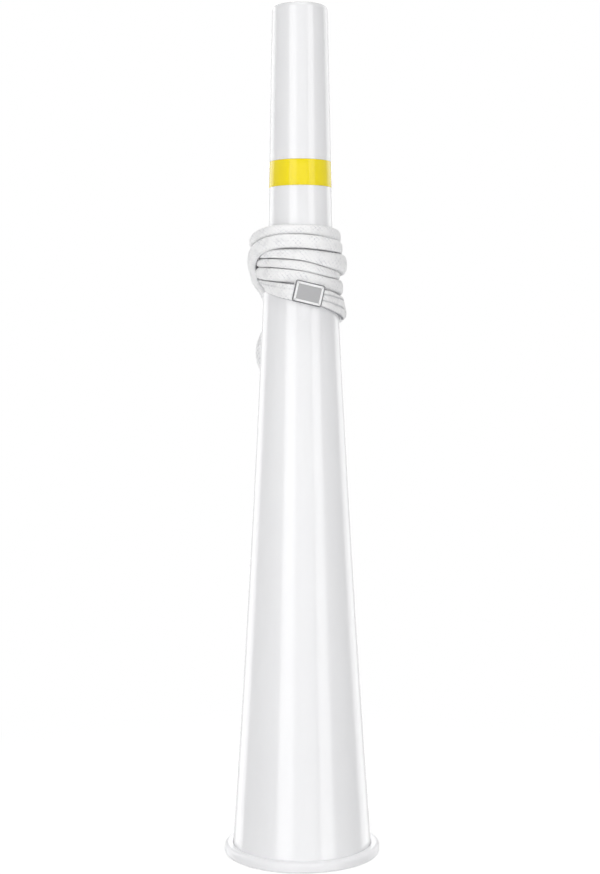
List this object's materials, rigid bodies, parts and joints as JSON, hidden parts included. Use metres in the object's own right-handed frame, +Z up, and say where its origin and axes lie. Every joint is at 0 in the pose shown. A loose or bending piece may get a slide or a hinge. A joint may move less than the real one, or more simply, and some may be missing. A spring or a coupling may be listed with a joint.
{
  "type": "vuvuzela",
  "caption": "Straight conical plastic horn that stands on its rimmed bell, with a telescoping mouth tube, a colour band and a soft carrying rope wound round its neck.",
  "frame": {"origin": "centre of the rim's flat underside, on the surface that the horn stands on", "axes": "+Z up along the horn's axis from bell to mouthpiece; -Y is the front, where the rope's clasp faces; +X is to the right as seen from the front"},
  "size_m": [0.1202, 0.1202, 0.65],
  "materials": {
    "white_shell": "smooth moulded, glossy",
    "white_mouthpiece": "smooth moulded, glossy",
    "yellow_band": "glossy film band",
    "white_rope": "soft braided, matt",
    "white_clasp": "moulded, satin",
    "grey_panel": "flat inlay, satin"
  },
  "bodies": {
    "bell": {"bell": "white_shell", "bell_rim": "white_shell", "cord_winding": "white_rope", "cord_last_turn": "white_rope", "cord_hanging_loop": "white_rope", "tag_back": "white_clasp", "tag_frame": "white_clasp", "tag_panel": "grey_panel"},
    "mouth_tube": {"mouth_tube": "white_shell", "colour_band": "yellow_band"},
    "mouthpiece": {"mouthpiece": "white_mouthpiece"}
  },
  "joints": [
    {"name": "mouth_tube_slide", "type": "slide", "parent": "bell", "child": "mouth_tube", "axis": [0, 0, -1], "range_m": [0, 0.16]},
    {"name": "mouthpiece_pull", "type": "slide", "parent": "mouth_tube", "child": "mouthpiece", "axis": [0, 0, 1], "range_m": [0, 0.042]}
  ]
}
